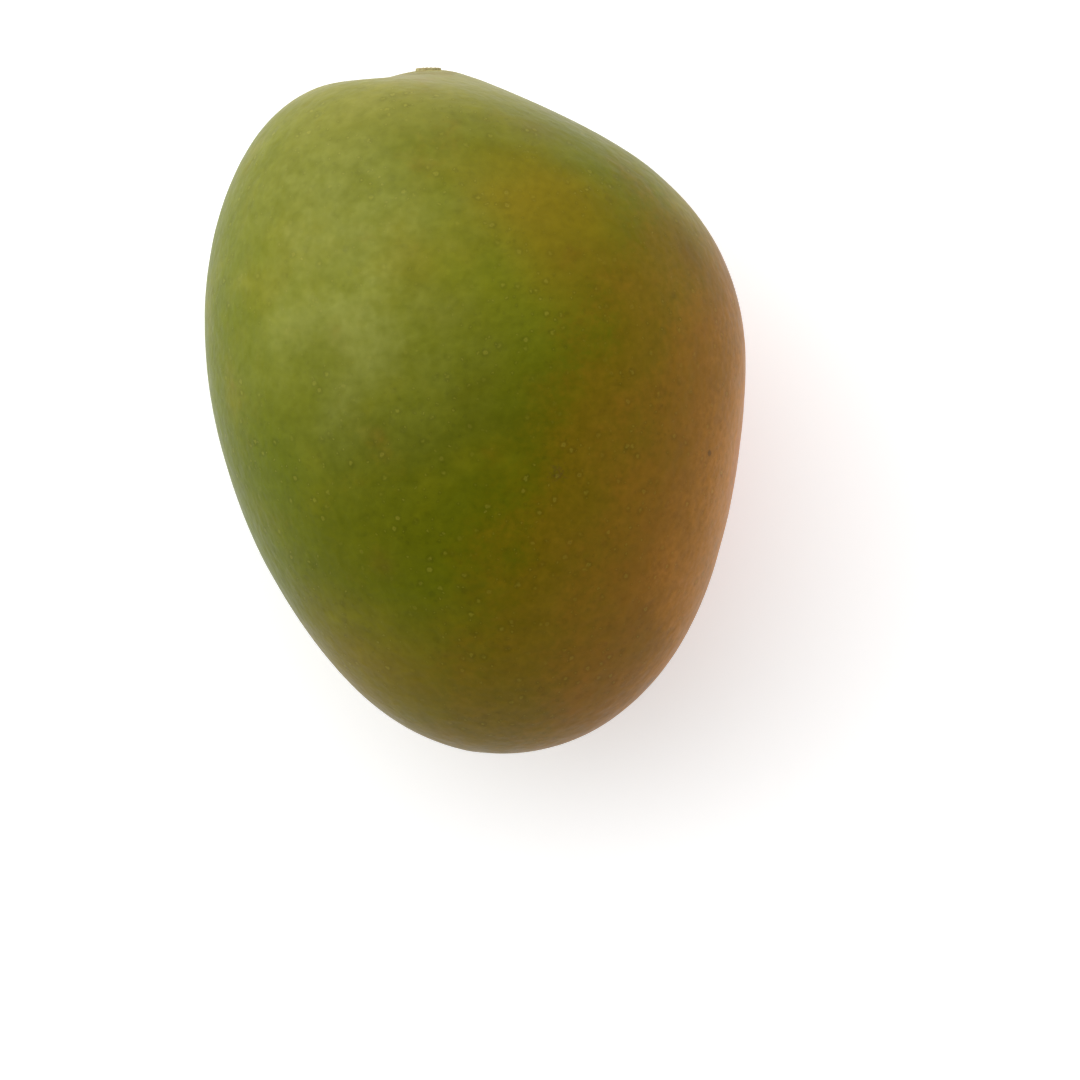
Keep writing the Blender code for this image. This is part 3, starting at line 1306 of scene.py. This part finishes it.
@dataclass(frozen=True)
class SkinMap:
    """Where each colour lies on the fruit.

    Middles and patches are in degrees from the stem and then round the fruit, and edges and cores in degrees
    from a middle. Spans are in radians from the stem, and distances in metres from the stalk's axis.
    """

    blush_middle: tuple[float, float] = (115.0, -12.0)
    blush_edge: float = 99.0
    blush_core: float = 14.0
    blush_at_stem: float = 0.25
    blush_span: tuple[float, float] = (0.35, 1.55)
    fire_middle: tuple[float, float] = (108.0, -52.0)
    fire_edge: float = 72.0
    fire_core: float = 5.0
    leafy_middle: tuple[float, float] = (90.0, 185.0)
    leafy_edge: float = 90.0
    leafy_core: float = 15.0
    leafy_loss: float = 0.7
    leafy_span: tuple[float, float] = (1.6, 2.5)
    sap_around: float = math.radians(100.0)
    sap_bend: float = 0.25
    sap_bends: int = 9
    sap_width: float = 0.16
    sap_span: tuple[float, float] = (0.40, 0.12)
    sap_ring_strength: float = 0.8
    sap_ring_distance: float = 0.0062
    sap_ring_width: float = 0.003
    cork_distances: tuple[float, float] = (0.0062, 0.0026)
    crack_distances: tuple[float, float] = (0.0060, 0.0044)
    tans: tuple[Patch, ...] = (Patch(54.0, 62.0, 18.0, 1.0),)
    # The patches on the upper cheek and near the back's rim are mostly painted sheen and painted rim
    # reflection; the wide one low on the belly side is wax bloom.
    bloom_and_sheen_patches: tuple[Patch, ...] = (
        Patch(59.0, 119.0, 25.5, 1.04),
        Patch(36.0, 150.0, 14.0, 0.45),
        Patch(53.0, 14.0, 9.5, 0.95),
        Patch(86.0, 121.0, 5.5, 0.4),
        Patch(78.0, 109.0, 5.5, 0.32),
        Patch(64.0, 106.0, 6.5, 0.24),
        Patch(70.0, 240.0, 60.0, 0.5),
    )
    smudges: tuple[Patch, ...] = (
        Patch(65.0, 30.0, 4.5, 0.7),
        Patch(72.0, 24.0, 5.0, 0.35),
        # The wide smudge at 69 degrees, near the back's rim, only darkens that rim as seen from above.
        Patch(69.0, 2.0, 8.0, 0.4),
        Patch(120.0, 119.0, 2.6, 0.4),
        Patch(34.0, 52.0, 4.0, 0.35),
        Patch(58.0, 250.0, 5.0, 0.5),
        Patch(171.0, 180.0, 1.4, 1.0),
    )

    def _from(self, along: np.ndarray, around: np.ndarray, middle: tuple[float, float]) -> np.ndarray:
        """How far each point of the skin is from a middle one, seen from inside the fruit.

        Args:
            along: The points' angles from the stem.
            around: Their angles round the fruit.
            middle: The middle point's two angles, in degrees.

        Returns:
            Degrees.
        """
        to_along, to_around = np.radians(middle)
        cosine = np.cos(along) * math.cos(to_along)
        cosine += np.sin(along) * math.sin(to_along) * np.cos(around - to_around)
        return np.degrees(np.arccos(np.clip(cosine, -1, 1)))

    def _patched(self, along: np.ndarray, around: np.ndarray, patches: tuple[Patch, ...]) -> np.ndarray:
        """How strongly some patches show.

        Args:
            along: The points' angles from the stem.
            around: Their angles round the fruit.
            patches: The patches.

        Returns:
            From 0 to 1, at each point.
        """
        total = np.zeros_like(along)
        for patch in patches:
            distance = self._from(along, around, (patch.along, patch.around))
            total += patch.strength * bell(distance, patch.reach)
        return np.clip(total, 0, 1)

    def _blush(self, along: np.ndarray, around: np.ndarray) -> np.ndarray:
        """How far the blush has come, which is less towards the stem.

        Args:
            along: The points' angles from the stem.
            around: Their angles round the fruit.

        Returns:
            From 0 to 1, at each point.
        """
        inwards = self.blush_edge - self._from(along, around, self.blush_middle)
        level = inwards / (self.blush_edge - self.blush_core)
        from_stem = smooth_step(*self.blush_span, along)
        return np.clip(level * (self.blush_at_stem + (1.0 - self.blush_at_stem) * from_stem), 0, 1)

    def _leafy(self, along: np.ndarray, around: np.ndarray) -> np.ndarray:
        """How leafy the green of the belly is, which is less towards the tip.

        Args:
            along: The points' angles from the stem.
            around: Their angles round the fruit.

        Returns:
            From 0 to 1, at each point.
        """
        leafy = smooth_step(self.leafy_edge, self.leafy_core, self._from(along, around, self.leafy_middle))
        return leafy * (1.0 - self.leafy_loss * smooth_step(*self.leafy_span, along))

    def _stain(self, along: np.ndarray, around: np.ndarray, width: np.ndarray) -> np.ndarray:
        """The stain of the sap: a ring round the stalk, and the bent track of a drip.

        Args:
            along: The points' angles from the stem.
            around: Their angles round the fruit.
            width: Their distances from the stalk's axis.

        Returns:
            From 0 to 1, at each point.
        """
        track = self.sap_around + self.sap_bend * np.sin(self.sap_bends * along)
        from_track = np.angle(np.exp(1j * (around - track)))
        drip = bell(from_track, self.sap_width) * smooth_step(*self.sap_span, along)
        ring = self.sap_ring_strength * bell(width - self.sap_ring_distance, self.sap_ring_width)
        return np.clip(drip + ring, 0, 1)

    def masks(
        self, form: FruitForm, relief: Relief, along: np.ndarray, around: np.ndarray
    ) -> dict[Mask, np.ndarray]:
        """The values that the skin's finish reads.

        Args:
            form: The fruit's form.
            relief: Its relief, which has the collar's cracks.
            along: The points' angles from the stem.
            around: Their angles round the fruit.

        Returns:
            Each value, at each point.
        """
        width = np.where(along < math.pi / 2, form.half_width(along), 1.0)
        cracks = np.clip(2.0 * relief.crack_share(width, around) - 1.0, 0, 1)
        from_fire = self._from(along, around, self.fire_middle)
        return {
            Mask.ALONG: along / math.pi,
            Mask.BELLY: self._leafy(along, around),
            Mask.TAN: self._patched(along, around, self.tans),
            Mask.BLUSH: self._blush(along, around),
            Mask.FIRE: smooth_step(self.fire_edge, self.fire_core, from_fire),
            Mask.BLOOM_AND_SHEEN: self._patched(along, around, self.bloom_and_sheen_patches),
            Mask.STAIN: self._stain(along, around, width),
            Mask.CORK: smooth_step(*self.cork_distances, width),
            Mask.CRACK: cracks * smooth_step(*self.crack_distances, width),
            Mask.SMUDGE: self._patched(along, around, self.smudges),
        }


@dataclass
class Fruit:
    """The fruit's skin, as one closed mesh that goes down into the stub's socket."""

    lie: Lie
    relief: Relief = field(default_factory=Relief)
    colours: SkinMap = SkinMap()
    finish: SkinFinish = SkinFinish()
    sides: int = 400
    track_steps: int = 4000
    fine_gap: float = 0.00028
    coarse_gap: float = 0.00086
    fine_span: tuple[float, float] = (0.0042, 0.0154)
    socket_radius: float = 0.00242
    socket_depth: float = 0.0033
    socket_rings: int = 7
    socket_floor_shares: tuple[float, ...] = (0.35, 0.7)
    lip_width: float = 0.00012

    @property
    def form(self) -> FruitForm:
        """The fruit's form."""
        return self.lie.form

    def _ring_angles(self) -> np.ndarray:
        """Places the rounds of points, closer together at the stem and at the tip.

        Returns:
            Each round's angle from the stem.
        """
        fine = np.linspace(0.0, math.pi, self.track_steps)
        track = self.form.skin(fine, np.full_like(fine, math.pi / 2))
        reach = np.concatenate([[0.0], np.cumsum(np.linalg.norm(np.diff(track, axis=0), axis=-1))])
        width = self.form.half_width(fine)
        gap = self.fine_gap + (self.coarse_gap - self.fine_gap) * smooth_step(*self.fine_span, width)
        rank = np.concatenate([[0.0], np.cumsum(np.diff(reach) / gap[1:])])
        stem_third = slice(0, self.track_steps // 3)
        lip_radius = self.socket_radius + self.lip_width
        start = float(np.interp(lip_radius, width[stem_third], fine[stem_third]))
        first = float(np.interp(start, fine, rank))
        ranks = np.linspace(first, rank[-1], int(rank[-1] - first))[:-1]
        return np.interp(ranks, rank, fine)

    def _outward(self, points: np.ndarray) -> np.ndarray:
        """The skin's outward direction.

        Args:
            points: The skin's points, in rounds.

        Returns:
            The direction at each point, of length 1.
        """
        down = np.gradient(points, axis=0)
        across = np.roll(points, -1, axis=1) - np.roll(points, 1, axis=1)
        normal = np.cross(across, down)
        return normal / np.linalg.norm(normal, axis=-1, keepdims=True)

    def _socket(self, lip: np.ndarray) -> tuple[np.ndarray, np.ndarray]:
        """The stub's socket, from its floor up to just inside the lip.

        Args:
            lip: The skin's first round of points.

        Returns:
            The socket's rounds of points, and the middle of its floor.
        """
        axis = self.form.stalk_direction()
        pole = self.form.outline_point(np.array([0.0]))[0]
        across = lip - pole
        across -= (across @ axis)[:, None] * axis
        spoke = across / np.linalg.norm(across, axis=-1, keepdims=True) * self.socket_radius
        floor = pole - axis * self.socket_depth
        rise = (self.socket_depth + (lip - pole) @ axis)[:, None] * axis
        rounds = [floor + spoke * share for share in self.socket_floor_shares]
        rounds += [floor + spoke + rise * share for share in np.linspace(0.0, 1.0, self.socket_rings)]
        return np.array(rounds), floor

    def _values(self, along: np.ndarray, around: np.ndarray, socket_rounds: int) -> dict[Mask, np.ndarray]:
        """The values that the finish reads, at every point of the mesh.

        Args:
            along: The skin's angles from the stem.
            around: Its angles round the fruit.
            socket_rounds: How many rounds of points come before the skin's.

        Returns:
            Each value: the socket's points, the skin's, the middle of the socket's floor, and the tip.
        """
        values = {}
        for mask, skin in self.colours.masks(self.form, self.relief, along, around).items():
            inside = 1.0 if mask is Mask.CORK else 0.0
            socket = np.full(socket_rounds * self.sides, inside)
            values[mask] = np.concatenate([socket, skin.ravel(), [inside, skin[-1].mean()]])
        return values

    def build(self) -> bpy.types.Object:
        """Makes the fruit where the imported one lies.

        Returns:
            The fruit's object.
        """
        turns = np.linspace(0.0, 2 * math.pi, self.sides, endpoint=False)
        along, around = np.meshgrid(self._ring_angles(), turns, indexing="ij")
        points = self.form.skin(along, around)
        points += self._outward(points) * self.relief.height(self.form, points, along, around)[..., None]
        socket, floor = self._socket(points[0])
        rounds = self.lie.place(np.concatenate([socket, points]))
        rounds[..., 2] = np.maximum(rounds[..., 2], 0.0)
        tip = self.lie.place(self.form.outline_point(np.array([math.pi]))[0])
        values = self._values(along, around, len(socket))
        mesh = RingMesh("mango_fruit", rounds, self.lie.place(floor), tip, values)
        made = mesh.build(self.finish.material())
        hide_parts("fruit")
        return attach(made, BODY)


@dataclass(frozen=True)
class StubRound:
    """A round of the stub's points: its radii and heights, 1 if on the cut face, and how far out it is."""

    radius: np.ndarray
    height: np.ndarray
    cut_face: float
    from_axis: float


@dataclass
class StalkStub:
    """The cut stub of the stalk: a short ridged peg with a fibrous cut face.

    The side's and edge's shares are of the peg's length, and the face's are of its radius. Each wave of the
    fibres has its count round the stub and its radians from the axis to the rim.
    """

    lie: Lie
    finish: StalkFinish = StalkFinish()
    sides: int = 120
    foot_radius: float = 0.00244
    top_radius: float = 0.00233
    depth: float = 0.0030
    stands_out: float = 0.00058
    side_rings: int = 22
    side_share: float = 0.93
    edge_share: float = 0.07
    edge_squareness: int = 14
    face_rings: int = 16
    face_shares: tuple[float, float] = (0.97, 0.06)
    ridges: int = 11
    ridge_height: float = 0.000045
    ridge_wander: float = 1.3
    ridge_bends: int = 3
    fine_ridges: int = 23
    fine_ridge_share: float = 0.6
    fine_ridge_twist: float = 2.0
    dish: float = 0.00022
    middle_dish: float = 0.000264
    fibre_height: float = 0.00006
    fibre_room: float = 0.00009
    fibre_waves: tuple[tuple[int, float], ...] = ((19, 40.0), (3, 31.0))

    @property
    def top(self) -> float:
        """The height of the cut face's rim over the skin, which leaves room for the fibres."""
        return self.stands_out - self.fibre_room

    def _radius(self, share: float, turns: np.ndarray) -> np.ndarray:
        """The peg's radius, with the bark's ridges.

        Args:
            share: How far up the peg it is.
            turns: Its angles round the peg.

        Returns:
            The radius at each angle.
        """
        radius = self.foot_radius + (self.top_radius - self.foot_radius) * share
        ridges = np.sin(self.ridges * turns + self.ridge_wander * np.sin(self.ridge_bends * turns))
        fine = np.sin(self.fine_ridges * turns + self.fine_ridge_twist * share)
        return radius + self.ridge_height * (ridges + self.fine_ridge_share * fine - 1.0)

    def _side(self, turns: np.ndarray) -> list[StubRound]:
        """The rounds up the side.

        Args:
            turns: The angles round the peg.

        Returns:
            The rounds, from the foot.
        """
        rounds = []
        for share in np.linspace(0.0, 1.0, self.side_rings):
            height = -self.depth + (self.depth + self.stands_out) * share * self.side_share
            rounds.append(StubRound(self._radius(share, turns), np.full(self.sides, height), 0.0, 1.0))
        return rounds

    def _face(self, turns: np.ndarray) -> list[StubRound]:
        """The rounds of the cut face, which is dished and has the ends of the fibres.

        Args:
            turns: The angles round the peg.

        Returns:
            The rounds, from the rim.
        """
        rim = self._radius(1.0, turns)
        edge_height = self.edge_share * (self.depth + self.stands_out)
        rounds = []
        for share in np.linspace(*self.face_shares, self.face_rings):
            waves = [np.sin(count * turns + outwards * share) for count, outwards in self.fibre_waves]
            fall = edge_height * (1.0 - (1.0 - share**self.edge_squareness) ** 0.5)
            fall += self.dish * (1.0 - share**2)
            height = self.top - fall + self.fibre_height * np.prod(waves, axis=0)
            rounds.append(StubRound(rim * share, height, 1.0, float(share)))
        return rounds

    def build(self) -> bpy.types.Object:
        """Makes the stub in its socket.

        Returns:
            The stub's object.
        """
        turns = np.linspace(0.0, 2 * math.pi, self.sides, endpoint=False)
        rows = self._side(turns) + self._face(turns)
        radius = np.array([row.radius for row in rows])
        height = np.array([row.height for row in rows])
        local = np.stack([radius * np.cos(turns), radius * np.sin(turns), height], axis=-1)
        form = self.lie.form
        turn = np.array(Vector(form.stalk_direction()).to_track_quat("Z", "Y").to_matrix())
        pole = form.outline_point(np.array([0.0]))[0]
        rounds = self.lie.place(pole + local @ turn.T)
        foot = self.lie.place(pole + np.array([0, 0, -self.depth]) @ turn.T)
        head = self.lie.place(pole + np.array([0, 0, self.top - self.middle_dish]) @ turn.T)
        cut_face = np.repeat([row.cut_face for row in rows], self.sides)
        from_axis = np.repeat([row.from_axis for row in rows], self.sides)
        values = {
            StubPart.CUT_FACE: np.concatenate([cut_face, [0.0, 1.0]]),
            StubPart.FROM_AXIS: np.concatenate([from_axis, [0.0, 0.0]]),
        }
        made = RingMesh("mango_stem_stub", rounds, foot, head, values).build(self.finish.material())
        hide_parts("stem_stub")
        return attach(made, BODY)


@dataclass(frozen=True)
class SoftLight:
    """A wide soft light in the surround: where it is, how bright, and how fast it fades from its middle."""

    azimuth: float
    elevation: float
    level: float
    fade: float

    @property
    def way(self) -> tuple[float, float, float]:
        """The direction to it."""
        level = math.cos(self.elevation)
        return level * math.cos(self.azimuth), level * math.sin(self.azimuth), math.sin(self.elevation)


@dataclass
class Studio:
    """The pale floor, the soft light and the camera, which looks straight down on the fruit."""

    middle: np.ndarray
    floor_radius: float = 6.0
    floor_sides: int = 96
    floor_drop: float = 0.00005
    frame_side: int = 1080
    pixels_per_metre: float = 5480.0
    fruit_px: tuple[float, float] = (476.0, 408.0)
    stem_turn: float = math.radians(8.0)
    camera_distance: float = 0.75
    horizon_light: float = 0.72
    horizon_fade: float = 1.5
    lights: tuple[SoftLight, ...] = (
        SoftLight(math.radians(152.0), math.radians(30.0), 2.6, 10.0),
        SoftLight(math.radians(96.0), math.radians(40.0), 1.9, 2.5),
    )

    def lay_floor(self) -> None:
        """A wide round floor just under the fruit."""
        bpy.ops.mesh.primitive_circle_add(
            vertices=self.floor_sides,
            radius=self.floor_radius,
            fill_type="NGON",
            location=(0, 0, -self.floor_drop),
        )
        floor = bpy.context.object
        floor.name = "floor"
        floor.data.materials.append(FloorFinish().material())

    def light_surround(self) -> None:
        """A pale surround, bright at the horizon and dark overhead, with the soft lights in it."""
        world = bpy.data.worlds.new("pale_surround")
        world.use_nodes = True
        bench = Bench(world.node_tree)
        way = bench.add("ShaderNodeTexCoord").outputs["Generated"]
        split = bench.add("ShaderNodeSeparateXYZ")
        bench.links.new(way, split.inputs[0])
        depth = bench.math(Sum.LESS, 1.0, bench.math(Sum.LARGER, split.outputs["Z"], 0.0))
        light = bench.math(Sum.TIMES, bench.math(Sum.POWER, depth, self.horizon_fade), self.horizon_light)
        for soft in self.lights:
            facing = bench.add("ShaderNodeVectorMath")
            facing.operation = "DOT_PRODUCT"
            facing.inputs[1].default_value = soft.way
            bench.links.new(way, facing.inputs[0])
            lobe = bench.math(Sum.POWER, bench.math(Sum.LARGER, facing.outputs["Value"], 0.0), soft.fade)
            light = bench.math(Sum.TIMES_PLUS, lobe, soft.level, light)
        bench.links.new(light, bench.nodes["Background"].inputs["Strength"])
        bench.nodes["Background"].inputs["Color"].default_value = (1.0, 1.0, 1.0, 1.0)
        bpy.context.scene.world = world

    def stand_camera(self) -> None:
        """A camera that looks straight down, with the fruit where the picture has it."""
        data = bpy.data.cameras.new("camera")
        data.lens = data.sensor_width * self.camera_distance * self.pixels_per_metre / self.frame_side
        camera = bpy.data.objects.new("camera", data)
        right = Vector((math.cos(self.stem_turn), -math.sin(self.stem_turn), 0.0))
        up = Vector((math.sin(self.stem_turn), math.cos(self.stem_turn), 0.0))
        across = (self.frame_side / 2 - self.fruit_px[0]) / self.pixels_per_metre
        down = (self.frame_side / 2 - self.fruit_px[1]) / self.pixels_per_metre
        over = Vector(self.middle) + Vector((0, 0, self.camera_distance))
        camera.location = over + right * across - up * down
        camera.rotation_euler = (0.0, 0.0, -self.stem_turn)
        bpy.context.scene.collection.objects.link(camera)
        bpy.context.scene.camera = camera

    def build(self) -> None:
        """Sets up the whole studio."""
        bpy.context.scene.view_settings.view_transform = "Standard"
        self.lay_floor()
        self.light_surround()
        self.stand_camera()


def main() -> None:
    """Builds the mango and the studio, in order."""
    logging.basicConfig(level=logging.INFO, format="%(name)s: %(message)s")
    lie = Lie.of_packed(FruitForm())
    for piece in (Fruit(lie), StalkStub(lie)):
        made = piece.build()
        LOG.info("%s has %d faces", made.name, len(made.data.polygons))
    Studio(lie.middle).build()
    LOG.info("the floor, the light and the camera are set up")


if __name__ == "__main__":
    main()
